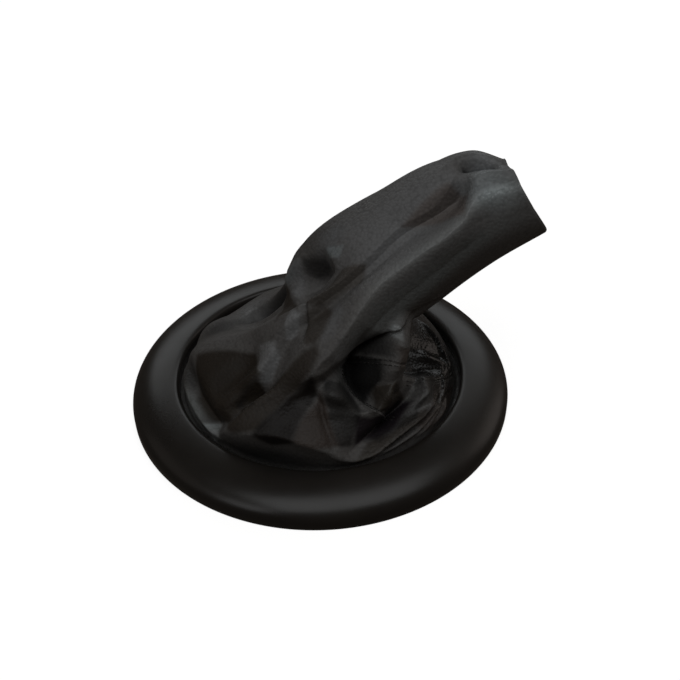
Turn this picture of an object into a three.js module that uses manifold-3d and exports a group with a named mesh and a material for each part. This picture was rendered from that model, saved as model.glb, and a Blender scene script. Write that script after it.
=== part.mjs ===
// Gear lever gaiter: a leather boot, fallen over to one side, held in a round moulded trim ring.
// Millimetres, +Z up. The origin is the centre of the trim ring's foot, and the boot's neck leans
// towards +X. Clock angles run anticlockwise seen from above, from 0 at +X.
import * as THREE from 'three';
import { mergeVertices } from 'three/addons/utils/BufferGeometryUtils.js';
import Module from 'manifold-3d';

const wasm = await Module();
wasm.setup();

// Trim ring
const RING_HOLE_RADIUS = 56;
const RING_WIDTH = 19;
const RING_HEIGHT = 10.9;
const RING_WALL = 2.2;
const EDGE_WALL_HEIGHT = 2.8;
const NOSE_WIDTH = 2.5;
const SKIRT_WALL = 2;
const SKIRT_FOOT = 5;
const CLAMP_WIDTH = 12;
const CLAMP_RIB_WALL = 1.6;
const STIFFENERS = 24;
const STIFFENER_WALL = 1.2;
const SNAP_BEADS = 4;
const SNAP_BEAD_ARC = 24;
const SNAP_BEAD_DEPTH = 1;
const SNAP_BEAD_HEIGHT = 1.4;

// Retaining ring, pressed over pins and held by their flattened heads
const RETAINER_THICKNESS = 1.6;
const PINS = 12;
const PIN_RADIUS = 1.5;
const PIN_HEAD_RADIUS = 2.6;
const PIN_HEAD_THICKNESS = 0.8;
const PIN_HOLE_CLEARANCE = 0.4;

// Leather
const LEATHER = 1.2;
const HEM_DEPTH = 9;
const HOLE_CLEARANCE = 2;
const BOOT_FOOT_HEIGHT = 7;
const BOOT_LENGTH = 165;
const BASE_BEND = 1;
const SETTLE_LENGTH = 6;
const NECK_REACH = 74;
const NECK_SWAY = -1;
const NECK_HEIGHT = 84;
const NECK_TILT = 58;
const NECK_YAW = 6;
const NECK_HALF_DEPTH = 14.5;
const NECK_HALF_WIDTH = 13;

// Gap between pieces that lie on each other
const SEAT_GAP = 0.3;

// Fineness of the meshes. The boot is smooth after the ridges that are listed here, and its columns
// lie wider apart there.
const RING_STEPS = 60;
const BOOT_STEPS_ROUND = 66;
const BOOT_STEPS_ALONG = 26;
const SMOOTH_SECTORS = ['right', 'right back', 'back right', 'back', 'back shoulder'];
const SMOOTH_COLUMNS = 0.45;

const RING_OUTER_RADIUS = RING_HOLE_RADIUS + RING_WIDTH;
const CLAMP_RIB_RADIUS = RING_HOLE_RADIUS + CLAMP_WIDTH;
const PIN_CIRCLE_RADIUS = (RING_HOLE_RADIUS + SKIRT_WALL + CLAMP_RIB_RADIUS) / 2;
const BOOT_RADIUS = RING_HOLE_RADIUS - HOLE_CLEARANCE;
const FLANGE_TOP = SKIRT_FOOT - SEAT_GAP;
const FLANGE_FOOT = FLANGE_TOP - LEATHER;
const FLANGE_RADIUS = CLAMP_RIB_RADIUS + CLAMP_RIB_WALL;
const RETAINER_TOP = FLANGE_FOOT - SEAT_GAP;
const RETAINER_FOOT = RETAINER_TOP - RETAINER_THICKNESS;

// The boot's line, from its foot to its neck: share of the leather's length, then the section's
// centre as shares of the neck's reach and rise, its sway in mm, its tilt as a share of the neck's,
// and how far its half depth and half width still are from the neck's, as shares of the whole taper.
const BOOT_LINE = [
  { along: 0.00, reach: 0.00, rise: 0.00, sway: 0, tilt: 0.00, yaw: 0.0, deep: 1.00, wide: 1.00 },
  { along: 0.11, reach: 0.05, rise: 0.13, sway: -1.5, tilt: 0.03, yaw: 0.0, deep: 0.82, wide: 0.88 },
  { along: 0.25, reach: 0.13, rise: 0.25, sway: -1, tilt: 0.10, yaw: 0.0, deep: 0.49, wide: 0.68 },
  { along: 0.37, reach: 0.18, rise: 0.38, sway: 0, tilt: 0.35, yaw: 0.0, deep: 0.24, wide: 0.49 },
  { along: 0.54, reach: 0.30, rise: 0.55, sway: 1, tilt: 0.72, yaw: 0.3, deep: 0.11, wide: 0.29 },
  { along: 0.70, reach: 0.51, rise: 0.71, sway: 1, tilt: 0.93, yaw: 0.7, deep: 0.09, wide: 0.17 },
  { along: 0.87, reach: 0.77, rise: 0.91, sway: 0, tilt: 1.03, yaw: 0.8, deep: 0.09, wide: 0.09 },
  { along: 1.00, reach: 1.00, rise: 1.00, sway: NECK_SWAY, tilt: 1.00, yaw: 1.0, deep: 0.00, wide: 0.00 },
];

// Ridges and hollows that the leather is drawn between, in the order of their clock angles. Each row:
// share of the length, clock angle, height in mm over the smooth boot (a hollow is negative).
const RIDGES = [
  { name: 'back',
    rows: [[0, 90, 0], [1, 90, 0]] },
  { name: 'back shoulder',
    rows: [[0, 122, 0], [0.12, 124, 1], [0.3, 126, 1], [0.5, 124, 1], [1, 122, 0]] },
  { name: 'back lobe',
    rows: [[0, 148, 0], [0.1, 148, 0], [0.2, 150, -1], [0.3, 154, 1], [0.38, 158, 6], [0.46, 164, 9.5],
      [0.55, 165, 11], [0.64, 163, 10.5], [0.77, 163, 8.5], [0.86, 162, 6], [0.93, 160, 4],
      [1, 156, 1]] },
  { name: 'back valley',
    rows: [[0, 163, 0], [0.08, 166, 2], [0.18, 170, 2], [0.26, 177, -1], [0.34, 186, -2],
      [0.4, 193, -3], [0.47, 201, -3], [0.54, 205, -2], [0.6, 204, 1], [0.66, 200, 3.5],
      [0.75, 194, 5.5], [0.86, 180, 5], [0.93, 170, 3], [1, 166, 1]] },
  { name: 'top ridge',
    rows: [[0, 175, 0], [0.03, 177, 1], [0.06, 179, 5], [0.13, 181, 7], [0.19, 185, 8], [0.26, 191, 8],
      [0.35, 204, 8.5], [0.44, 212, 8], [0.525, 216.5, 6], [0.615, 214.5, 5.5], [0.725, 207, 5],
      [0.83, 206, 4], [0.863, 197, 3.5], [0.89, 184, 2], [0.94, 178, 0.5], [1, 176, 0]] },
  { name: 'left bulge',
    rows: [[0, 205, 0], [0.03, 207, -1], [0.06, 212, 1.5], [0.11, 216, 3.5], [0.165, 218, 5.5],
      [0.222, 214, 6.5], [0.27, 209, 7], [0.31, 209.5, 7.5], [0.356, 212, 7.5], [0.44, 217, 6],
      [0.525, 221, 4], [0.615, 219, 3], [0.725, 212, 2], [0.83, 211, -1], [0.863, 205, -2.5],
      [0.89, 196, -1.5], [0.92, 190, 1], [1, 188, 1]] },
  { name: 'left valley',
    rows: [[0, 214, 0], [0.03, 217, 0], [0.07, 221, 0], [0.119, 223.5, 1], [0.184, 223.5, 3],
      [0.259, 221.5, 3.5], [0.312, 220, 4], [0.361, 219.5, 4.5], [0.44, 222.5, 4], [0.525, 226, 3.5],
      [0.615, 224, 3], [0.725, 220, 3], [0.83, 220, 2], [0.863, 214, 0.5], [0.89, 206, 0.5],
      [0.92, 200, 2.5], [1, 198, 3]] },
  { name: 'apron edge',
    rows: [[0, 224, 0], [0.02, 225, 2], [0.045, 226, 4], [0.092, 228, 6], [0.137, 229, 7],
      [0.187, 230, 8], [0.269, 230, 9], [0.342, 233, 9.5], [0.407, 235.5, 9.5], [0.484, 235, 8],
      [0.613, 229, 6], [0.725, 227.5, 5.5], [0.83, 229, 5], [0.863, 222, 3.5], [0.893, 213, 2],
      [0.93, 208, 2], [1, 207, 2.5]] },
  { name: 'apron middle',
    rows: [[0, 250, 0], [0.06, 250, 0], [0.115, 248, 0], [0.16, 246, 0.5], [0.22, 242, 4],
      [0.265, 238, 7], [0.311, 239, 9.5], [0.4, 241.5, 9.8], [0.484, 241, 9.3], [0.533, 239, 9],
      [0.613, 234, 8], [0.725, 232, 7], [0.83, 233.5, 6], [0.863, 228, 4.5], [0.893, 218, 3],
      [0.93, 213, 2], [1, 213, 2]] },
  { name: 'front ridge',
    rows: [[0, 279, 0], [0.05, 277, 1], [0.102, 272, 0.5], [0.165, 265, -1.5], [0.2, 260.5, -1],
      [0.25, 253.5, 2], [0.3, 248, 6.5], [0.345, 246.5, 9.3], [0.384, 248, 10], [0.457, 248, 10.5],
      [0.533, 245, 10.5], [0.616, 239, 10], [0.725, 237.5, 9], [0.83, 238, 7.2], [0.858, 235, 5.8],
      [0.88, 227, 4.5], [0.9, 222, 3], [0.94, 219, 2], [1, 219, 1.5]] },
  { name: 'side',
    rows: [[0, 300, 0], [0.08, 299, -1], [0.167, 296.5, -2], [0.222, 286, 0], [0.267, 275, 1],
      [0.317, 263.5, 2], [0.346, 256, 3.5], [0.38, 257, 4], [0.46, 260, 4], [0.55, 261, 3.5],
      [0.68, 259, 3.5], [0.8, 260, 2.5], [0.9, 258, 1.5], [1, 256, 0]] },
  { name: 'underside',
    rows: [[0, 324, 0], [0.15, 321, -1], [0.25, 312, 0], [0.35, 300, 0], [0.46, 294, 0],
      [0.55, 292, 0], [0.7, 293, 0], [1, 292, 0]] },
  { name: 'right',
    rows: [[0, 347, 0], [0.2, 344, 0], [0.4, 335, 0], [0.6, 326, 0], [1, 322, 0]] },
  { name: 'right back',
    rows: [[0, 375, 0], [1, 366, 0]] },
  { name: 'back right',
    rows: [[0, 412, 0], [1, 408, 0]] },
];

// Folds that run up the boot, on top of the ridges. The widths are those of the fold's two flanks in
// mm, clockwise side first. A power under 2 gives the fold a sharper crest.
const LENGTHWISE_FOLDS = [
  { name: 'back cavity', widths: [5, 5],
    rows: [[0.38, 190, 0], [0.42, 194, -4], [0.47, 199, -6], [0.52, 204, -6], [0.57, 208, -4],
      [0.63, 208, -1.5], [0.68, 206, 0]] },
  { name: 'back notch', widths: [5, 5],
    rows: [[0.2, 165, 0], [0.25, 170, -5], [0.3, 177, -8], [0.35, 186, -6], [0.39, 192, 0]] },
  { name: 'right pocket', widths: [9, 8],
    rows: [[0.23, 276, 0], [0.27, 277, -2.8], [0.31, 275, -5.5], [0.35, 272, -5], [0.4, 272, -2.2],
      [0.45, 278, 0]] },
  { name: 'upper lobe', widths: [8, 7],
    rows: [[0.28, 305, 0], [0.33, 303, 4.2], [0.4, 297, 6.3], [0.46, 291, 6.6], [0.52, 284, 5.6],
      [0.58, 281, 2.8], [0.62, 280, 0]] },
  { name: 'right hollow', widths: [8, 8],
    rows: [[0.12, 350, 0], [0.22, 340, -4], [0.32, 330, -6], [0.42, 318, -4], [0.52, 310, 0]] },
  { name: 'cuff dent', widths: [5, 5],
    rows: [[0.72, 211, 0], [0.78, 212, -1.5], [0.83, 212, -2.5], [0.86, 208, -3], [0.885, 203, -2],
      [0.91, 198, 0]] },
  { name: 'hood', widths: [8, 6],
    rows: [[0.86, 172, 0], [0.9, 168, 1.5], [0.94, 166, 2.5], [0.97, 166, 2], [1, 166, 1]] },
];

// Folds that run round the boot. Each row: clock angle, share of the length, height in mm. The
// widths are those of the lower and the upper flank.
const CROSSWISE_FOLDS = [
  { name: 'front roll', widths: [5, 14], power: 1.1,
    rows: [[214, 0.03, 0], [224, 0.055, 0.5], [229, 0.07, 1], [233, 0.085, 2], [241, 0.108, 5.5],
      [250, 0.118, 6.5], [256, 0.114, 6.3], [262.5, 0.106, 5.5], [269, 0.092, 4.3], [276, 0.063, 2.5],
      [284, 0.055, 0]] },
  { name: 'lip hollow', widths: [6, 8],
    rows: [[272, 0.08, 0], [282, 0.09, -1.8], [291, 0.115, -3.6], [299, 0.18, -4.2], [307, 0.21, -4.2],
      [318, 0.23, -2.4], [330, 0.22, 0]] },
  { name: 'sleeve underside', widths: [9, 5],
    rows: [[240, 0.262, 0], [245, 0.292, -2.1], [249, 0.312, -3.5], [253, 0.35, -4.9],
      [260.5, 0.41, -6.3], [270, 0.468, -6.3], [277.5, 0.53, -4.9], [283, 0.585, -2.8],
      [291, 0.635, -2.1], [300, 0.67, -1.4], [312, 0.7, 0]] },
];

const radians = (degrees) => degrees * Math.PI / 180;
const mix = (from, to, share) => from + (to - from) * share;

// A smooth curve through the points (at[i], value[i]), level with its end points beyond them.
function curveThrough(at, value) {
  const last = at.length - 1;
  const rise = (i) => (value[i + 1] - value[i]) / (at[i + 1] - at[i]);
  const slope = at.map((_, i) => {
    if (i === 0) return rise(0);
    if (i === last) return rise(last - 1);
    return (rise(i - 1) * (at[i + 1] - at[i]) + rise(i) * (at[i] - at[i - 1])) / (at[i + 1] - at[i - 1]);
  });
  return (x) => {
    if (x <= at[0]) return value[0];
    if (x >= at[last]) return value[last];
    const i = at.findIndex((a) => a > x) - 1;
    const span = at[i + 1] - at[i];
    const t = (x - at[i]) / span;
    const t2 = t * t;
    const t3 = t2 * t;
    return (2 * t3 - 3 * t2 + 1) * value[i] + (t3 - 2 * t2 + t) * span * slope[i]
      + (3 * t2 - 2 * t3) * value[i + 1] + (t3 - t2) * span * slope[i + 1];
  };
}

// Lathe of a closed profile of [radius, height] points, anticlockwise, standing on +Z.
function turned(profile, steps) {
  const points = [...profile, profile[0]].map(([radius, height]) => new THREE.Vector2(radius, height));
  return new THREE.LatheGeometry(points, steps).rotateX(Math.PI / 2);
}

function solid(geometry) {
  const bare = geometry.clone();
  bare.deleteAttribute('normal');
  bare.deleteAttribute('uv');
  const merged = mergeVertices(bare, 1e-4);
  return new wasm.Manifold(new wasm.Mesh({
    numProp: 3,
    vertProperties: new Float32Array(merged.attributes.position.array),
    triVerts: new Uint32Array(merged.index.array),
  }));
}

function geometryOf(manifold) {
  const mesh = manifold.getMesh();
  const geometry = new THREE.BufferGeometry();
  geometry.setAttribute('position', new THREE.BufferAttribute(new Float32Array(mesh.vertProperties), 3));
  geometry.setIndex(new THREE.BufferAttribute(new Uint32Array(mesh.triVerts), 1));
  geometry.computeVertexNormals();
  return geometry;
}

function uprightCylinder(radius, foot, top, x, y) {
  return new THREE.CylinderGeometry(radius, radius, top - foot, 10)
    .rotateX(Math.PI / 2)
    .translate(x, y, (foot + top) / 2);
}

// Repeats a shape round the ring's axis.
function aroundAxis(count, makeGeometry) {
  return Array.from({ length: count }, (_, i) => solid(makeGeometry().rotateZ(2 * Math.PI * i / count)));
}

// Height of the ring's top surface, and of its underside when the wall is taken off.
function domeCurve(offset) {
  const crestRadius = RING_HOLE_RADIUS + NOSE_WIDTH;
  const width = RING_OUTER_RADIUS - crestRadius;
  const drop = RING_HEIGHT - EDGE_WALL_HEIGHT;
  return new THREE.CubicBezierCurve(
    new THREE.Vector2(crestRadius, RING_HEIGHT - offset),
    new THREE.Vector2(crestRadius + 0.4 * width, RING_HEIGHT - 0.06 * drop - offset),
    new THREE.Vector2(RING_OUTER_RADIUS - offset, EDGE_WALL_HEIGHT + 0.32 * drop - offset / 2),
    new THREE.Vector2(RING_OUTER_RADIUS - offset, EDGE_WALL_HEIGHT),
  );
}

// Height of the middle of the domed wall at a radius.
function midWallHeight(radius) {
  const points = domeCurve(RING_WALL / 2).getPoints(40);
  const next = points.findIndex((point) => point.x >= radius);
  const share = (radius - points[next - 1].x) / (points[next].x - points[next - 1].x);
  return mix(points[next - 1].y, points[next].y, share);
}

function trimRingProfile() {
  const path = new THREE.Path();
  const crestRadius = RING_HOLE_RADIUS + NOSE_WIDTH;
  path.moveTo(RING_HOLE_RADIUS, SKIRT_FOOT);
  path.lineTo(RING_HOLE_RADIUS, RING_HEIGHT - NOSE_WIDTH);
  path.quadraticCurveTo(RING_HOLE_RADIUS, RING_HEIGHT, crestRadius, RING_HEIGHT);
  path.curves.push(domeCurve(0));
  path.currentPoint.set(RING_OUTER_RADIUS, EDGE_WALL_HEIGHT);
  path.lineTo(RING_OUTER_RADIUS, 0);
  path.lineTo(RING_OUTER_RADIUS - RING_WALL, 0);
  path.lineTo(RING_OUTER_RADIUS - RING_WALL, EDGE_WALL_HEIGHT);
  const topSide = path.getPoints(6).map((p) => [p.x, p.y]);
  const underside = domeCurve(RING_WALL).getPoints(4).reverse().slice(1).map((p) => [p.x, p.y]);
  const skirt = [RING_HOLE_RADIUS + SKIRT_WALL, SKIRT_FOOT];
  return [...topSide, ...underside, [skirt[0], RING_HEIGHT - RING_WALL], skirt].reverse();
}

function trimRing() {
  let ring = solid(turned(trimRingProfile(), RING_STEPS));
  const clampRib = [
    [CLAMP_RIB_RADIUS, SKIRT_FOOT],
    [FLANGE_RADIUS, SKIRT_FOOT],
    [FLANGE_RADIUS, midWallHeight(FLANGE_RADIUS)],
    [CLAMP_RIB_RADIUS, midWallHeight(CLAMP_RIB_RADIUS)],
  ];
  ring = ring.add(solid(turned(clampRib, RING_STEPS)));

  const stiffenerInner = FLANGE_RADIUS + SEAT_GAP;
  const stiffenerLength = RING_OUTER_RADIUS - RING_WALL / 2 - stiffenerInner;
  const stiffenerTop = EDGE_WALL_HEIGHT + RING_WALL / 2;
  const stiffenerHeight = stiffenerTop - EDGE_WALL_HEIGHT / 2;
  const stiffener = () => new THREE.BoxGeometry(stiffenerLength, STIFFENER_WALL, stiffenerHeight)
    .translate(stiffenerInner + stiffenerLength / 2, 0, stiffenerTop - stiffenerHeight / 2);
  aroundAxis(STIFFENERS, stiffener).forEach((rib) => { ring = ring.add(rib); });

  const pinTop = midWallHeight(PIN_CIRCLE_RADIUS + PIN_RADIUS);
  const headTop = RETAINER_FOOT - SEAT_GAP;
  const headFoot = headTop - PIN_HEAD_THICKNESS;
  const pin = () => uprightCylinder(PIN_RADIUS, headFoot, pinTop, PIN_CIRCLE_RADIUS, 0);
  const head = () => uprightCylinder(PIN_HEAD_RADIUS, headFoot, headTop, PIN_CIRCLE_RADIUS, 0);
  [...aroundAxis(PINS, pin), ...aroundAxis(PINS, head)].forEach((piece) => { ring = ring.add(piece); });

  const beadOuter = RING_OUTER_RADIUS - RING_WALL / 2;
  const beadInner = RING_OUTER_RADIUS - RING_WALL - SNAP_BEAD_DEPTH;
  const bead = () => {
    const half = radians(SNAP_BEAD_ARC / 2);
    const outline = new THREE.Shape();
    outline.absarc(0, 0, beadOuter, -half, half, false);
    outline.absarc(0, 0, beadInner, half, -half, true);
    return new THREE.ExtrudeGeometry(outline, { depth: SNAP_BEAD_HEIGHT, bevelEnabled: false, curveSegments: 4 });
  };
  aroundAxis(SNAP_BEADS, bead).forEach((piece) => { ring = ring.add(piece); });
  return geometryOf(ring);
}

function retainingRing() {
  const inner = RING_HOLE_RADIUS + SKIRT_WALL / 2;
  const outer = CLAMP_RIB_RADIUS + CLAMP_RIB_WALL / 2;
  let ring = solid(turned([
    [inner, RETAINER_FOOT], [outer, RETAINER_FOOT], [outer, RETAINER_TOP], [inner, RETAINER_TOP],
  ], RING_STEPS));
  const hole = () => uprightCylinder(PIN_RADIUS + PIN_HOLE_CLEARANCE, RETAINER_FOOT - 1, RETAINER_TOP + 1,
    PIN_CIRCLE_RADIUS, 0);
  aroundAxis(PINS, hole).forEach((piece) => { ring = ring.subtract(piece); });
  return geometryOf(ring);
}

const bootCurve = (key) => curveThrough(BOOT_LINE.map((row) => row.along), BOOT_LINE.map((row) => row[key]));
const boot = Object.fromEntries(
  ['reach', 'rise', 'sway', 'tilt', 'yaw', 'deep', 'wide'].map((key) => [key, bootCurve(key)]),
);
const halfDepth = (along) => mix(NECK_HALF_DEPTH, BOOT_RADIUS, boot.deep(along));
const halfWidth = (along) => mix(NECK_HALF_WIDTH, BOOT_RADIUS, boot.wide(along));

// Point of the smooth boot, before its folds.
function smoothBoot(clock, along) {
  const tilt = radians(NECK_TILT) * boot.tilt(along);
  const yaw = radians(NECK_YAW) * boot.yaw(along);
  const centre = new THREE.Vector3(
    NECK_REACH * boot.reach(along),
    boot.sway(along),
    mix(BOOT_FOOT_HEIGHT, NECK_HEIGHT, boot.rise(along)),
  );
  const axis = new THREE.Vector3(Math.sin(tilt) * Math.cos(yaw), Math.sin(tilt) * Math.sin(yaw), Math.cos(tilt));
  const depth = new THREE.Vector3(Math.cos(tilt) * Math.cos(yaw), Math.cos(tilt) * Math.sin(yaw), -Math.sin(tilt));
  const width = new THREE.Vector3().crossVectors(axis, depth);
  return centre
    .addScaledVector(depth, halfDepth(along) * Math.cos(radians(clock)))
    .addScaledVector(width, halfWidth(along) * Math.sin(radians(clock)));
}

// Outward normal of a surface given as point(turn, along).
function normalOf(point, turn, along, turnStep) {
  const step = 1e-3;
  const before = Math.max(along - step, 0);
  const after = Math.min(along + step, 1);
  const round = point(turn + turnStep, along).sub(point(turn - turnStep, along));
  const up = point(turn, after).sub(point(turn, before));
  return round.cross(up).normalize();
}

const smoothNormal = (clock, along) => normalOf(smoothBoot, clock, along, 0.2);

const rowCurve = (rows, column) => curveThrough(rows.map((row) => row[0]), rows.map((row) => row[column]));
const ridgeClocks = RIDGES.map(({ rows }) => rowCurve(rows, 1));
const ridgeHeights = RIDGES.map(({ rows }) => rowCurve(rows, 2));

// A place between two ridges is given by a turn: the first ridge's number and the share of the way to
// the next one.
function betweenRidges(values, turn, along, fullTurn) {
  const count = RIDGES.length;
  const first = Math.floor(turn);
  const value = (i) => values[((i % count) + count) % count](along) + fullTurn * Math.floor(i / count);
  return mix(value(first), value(first + 1), turn - first);
}

function foldShape(distance, [below, above], power = 2) {
  const width = distance < 0 ? below : above;
  return Math.exp(-(Math.abs(distance / width) ** power));
}

const turnedAngle = (angle) => ((angle % 360) + 540) % 360 - 180;

const lengthwiseFolds = LENGTHWISE_FOLDS.map(({ rows, widths, power }) => {
  const clockAt = rowCurve(rows, 1);
  const heightAt = rowCurve(rows, 2);
  return (clock, along) => {
    const radius = (halfDepth(along) + halfWidth(along)) / 2;
    const distance = radians(turnedAngle(clock - clockAt(along))) * radius;
    return heightAt(along) * foldShape(distance, widths, power);
  };
});

const crosswiseFolds = CROSSWISE_FOLDS.map(({ rows, widths, power }) => {
  const alongAt = rowCurve(rows, 1);
  const heightAt = rowCurve(rows, 2);
  return (clock, along) => {
    const turn = rows[0][0] + ((clock - rows[0][0]) % 360 + 360) % 360;
    return heightAt(turn) * foldShape((along - alongAt(turn)) * BOOT_LENGTH, widths, power);
  };
});

// The ridges and folds die out over the last few millimetres above the ring.
function foldedBoot(turn, along) {
  const clock = betweenRidges(ridgeClocks, turn, along, 360);
  const settled = THREE.MathUtils.smoothstep(along * BOOT_LENGTH, 0, SETTLE_LENGTH);
  const folds = [...lengthwiseFolds, ...crosswiseFolds];
  const ridge = betweenRidges(ridgeHeights, turn, along, 0);
  const height = settled * folds.reduce((sum, fold) => sum + fold(clock, along), ridge);
  return smoothBoot(clock, along).addScaledVector(smoothNormal(clock, along), height);
}

const foldedNormal = (turn, along) => normalOf(foldedBoot, turn, along, 0.1);

// Turns of the leather's columns: every ridge has one, and the rest are shared out by width, with
// fewer on the smooth back.
function columnTurns() {
  const samples = [0.05, 0.2, 0.35, 0.5, 0.65, 0.8, 0.95];
  const widths = RIDGES.map((_, i) => samples.reduce((sum, along) => {
    const sector = betweenRidges(ridgeClocks, i + 1, along, 360) - betweenRidges(ridgeClocks, i, along, 360);
    return sum + radians(sector) * (halfDepth(along) + halfWidth(along)) / 2;
  }, 0) * (SMOOTH_SECTORS.includes(RIDGES[i].name) ? SMOOTH_COLUMNS : 1));
  const total = widths.reduce((sum, width) => sum + width, 0);
  return widths.flatMap((width, i) => {
    const count = Math.max(1, Math.round(BOOT_STEPS_ROUND * width / total));
    return Array.from({ length: count }, (_, k) => i + k / count);
  });
}

// The leather's section, as a loop of rings from the flange's edge up the outside, round the hem
// at the neck and down the inside.
function gaiterRings() {
  const turns = columnTurns();
  const flat = (radius, height) => turns.map((turn) => {
    const clock = radians(betweenRidges(ridgeClocks, turn, 0, 360));
    return new THREE.Vector3(radius * Math.cos(clock), radius * Math.sin(clock), height);
  });
  const bendCentre = [BOOT_RADIUS + BASE_BEND, FLANGE_TOP + BASE_BEND];
  const bend = (radius, angle) => flat(
    bendCentre[0] + radius * Math.cos(radians(angle)),
    bendCentre[1] + radius * Math.sin(radians(angle)),
  );
  const outside = (along, inset) => turns.map((turn) => foldedBoot(turn, along)
    .addScaledVector(foldedNormal(turn, along), -inset));
  const tilt = radians(NECK_TILT);
  const ahead = new THREE.Vector3(Math.sin(tilt), 0, Math.cos(tilt));
  const lip = (along, inset, rise) => outside(along, inset).map((point) => point.addScaledVector(ahead, rise));
  const shares = Array.from({ length: BOOT_STEPS_ALONG + 1 }, (_, i) => (i / BOOT_STEPS_ALONG) ** 1.15);
  const hemStart = 1 - HEM_DEPTH / BOOT_LENGTH;
  const below = shares.filter((along) => along < hemStart - 0.01).reverse();
  return [
    flat(FLANGE_RADIUS, FLANGE_FOOT),
    flat(FLANGE_RADIUS, FLANGE_TOP),
    bend(BASE_BEND, 270),
    bend(BASE_BEND, 225),
    bend(BASE_BEND, 180),
    ...shares.map((along) => outside(along, 0)),
    lip(1, 0.4 * LEATHER, 0.6 * LEATHER),
    lip(1, 1.6 * LEATHER, 0.6 * LEATHER),
    outside(1, 2 * LEATHER),
    outside(hemStart, 2 * LEATHER),
    outside(hemStart - 0.005, LEATHER),
    ...below.map((along) => outside(along, LEATHER)),
    bend(BASE_BEND + LEATHER, 180),
    bend(BASE_BEND + LEATHER, 225),
    bend(BASE_BEND + LEATHER, 270),
  ];
}

function leatherGaiter() {
  const rings = gaiterRings();
  const positions = rings.flat().flatMap((point) => point.toArray());
  const around = rings[0].length;
  const triangles = [];
  for (let row = 0; row < rings.length; row += 1) {
    const next = (row + 1) % rings.length;
    for (let i = 0; i < around; i += 1) {
      const j = (i + 1) % around;
      const [a, b, c, d] = [row * around + i, row * around + j, next * around + j, next * around + i];
      triangles.push(a, b, c, a, c, d);
    }
  }
  const geometry = new THREE.BufferGeometry();
  geometry.setAttribute('position', new THREE.Float32BufferAttribute(positions, 3));
  geometry.setIndex(triangles);
  let leather = solid(geometry);
  const hole = () => uprightCylinder(PIN_RADIUS + PIN_HOLE_CLEARANCE, FLANGE_FOOT - 0.5, FLANGE_TOP + 0.5,
    PIN_CIRCLE_RADIUS, 0);
  aroundAxis(PINS, hole).forEach((piece) => { leather = leather.subtract(piece); });
  return geometryOf(leather);
}

const blackPlastic = new THREE.MeshStandardMaterial({ color: 0x1b1a1a, roughness: 0.42, metalness: 0 });
const darkPlastic = new THREE.MeshStandardMaterial({ color: 0x161616, roughness: 0.6, metalness: 0 });
const blackLeather = new THREE.MeshStandardMaterial({ color: 0x201d1b, roughness: 0.5, metalness: 0 });

function named(name, geometry, material) {
  const mesh = new THREE.Mesh(geometry, material);
  mesh.name = name;
  return mesh;
}

const gaiter = new THREE.Group();
gaiter.add(
  named('trim_ring', trimRing(), blackPlastic),
  named('leather_gaiter', leatherGaiter(), blackLeather),
  named('retaining_ring', retainingRing(), darkPlastic),
);

export default gaiter;
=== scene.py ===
"""Gear lever gaiter: a leather boot fallen over to one side in a satin plastic trim ring.

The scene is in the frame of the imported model: +Z up, the ring's foot on the floor at Z = 0, and the
boot's neck leaning to +X. The part's lengths are written in millimetres and scaled by MM, and those of
the floor, lights and camera in metres. A place on the leather is given by its clock angle (degrees,
anticlockwise from +X seen from above) and by its share of the leather's length, from 0 at the ring to
1 at the neck.
"""
import math

import bpy
import numpy as np
from mathutils import Matrix, Vector


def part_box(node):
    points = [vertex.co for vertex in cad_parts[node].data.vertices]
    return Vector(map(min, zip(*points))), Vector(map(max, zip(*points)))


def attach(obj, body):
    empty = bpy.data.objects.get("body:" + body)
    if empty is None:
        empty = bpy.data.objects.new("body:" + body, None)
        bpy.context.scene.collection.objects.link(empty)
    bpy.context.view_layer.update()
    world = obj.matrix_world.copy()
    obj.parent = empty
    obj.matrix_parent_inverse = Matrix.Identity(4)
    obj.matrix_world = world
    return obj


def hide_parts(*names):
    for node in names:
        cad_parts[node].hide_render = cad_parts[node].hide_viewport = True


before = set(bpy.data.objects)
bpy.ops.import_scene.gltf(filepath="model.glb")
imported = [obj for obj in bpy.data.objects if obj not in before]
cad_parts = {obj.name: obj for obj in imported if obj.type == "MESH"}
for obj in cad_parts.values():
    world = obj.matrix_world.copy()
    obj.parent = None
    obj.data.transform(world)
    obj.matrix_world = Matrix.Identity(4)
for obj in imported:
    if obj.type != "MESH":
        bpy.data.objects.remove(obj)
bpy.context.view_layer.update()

MM = 0.001

# Ring: its radius and height are measured on the frame
RING_HIGH = np.array(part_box("trim_ring")[1]) / MM
RING_OUTER_RADIUS = RING_HIGH[0]
RING_HEIGHT = RING_HIGH[2]
RING_HOLE_RADIUS = 56.0
RING_WALL = 2.2
EDGE_WALL_HEIGHT = 2.8
NOSE_WIDTH = 2.5
SKIRT_WALL = 2.0
SKIRT_FOOT = 5.0
CLAMP_WIDTH = 12.0
CLAMP_RIB_WALL = 1.6
CREST_RADIUS = RING_HOLE_RADIUS + NOSE_WIDTH
FOOT_ROUNDING = 0.4
FOOT_ROUNDING_MIDDLE = 0.12
RING_STEPS = 288
NOSE_STEPS = 10
DOME_STEPS = 28
DOME_UNDERSIDE_STEPS = 10
RING_SHARP_ANGLE = math.radians(40)

# Dome's curve: how far out and down the shoulder lies from the crest, and the side's height, as shares
DOME_SHOULDER_OUT = 0.58
DOME_SHOULDER_DOWN = 0.03
DOME_SIDE_UP = 0.52

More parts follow.
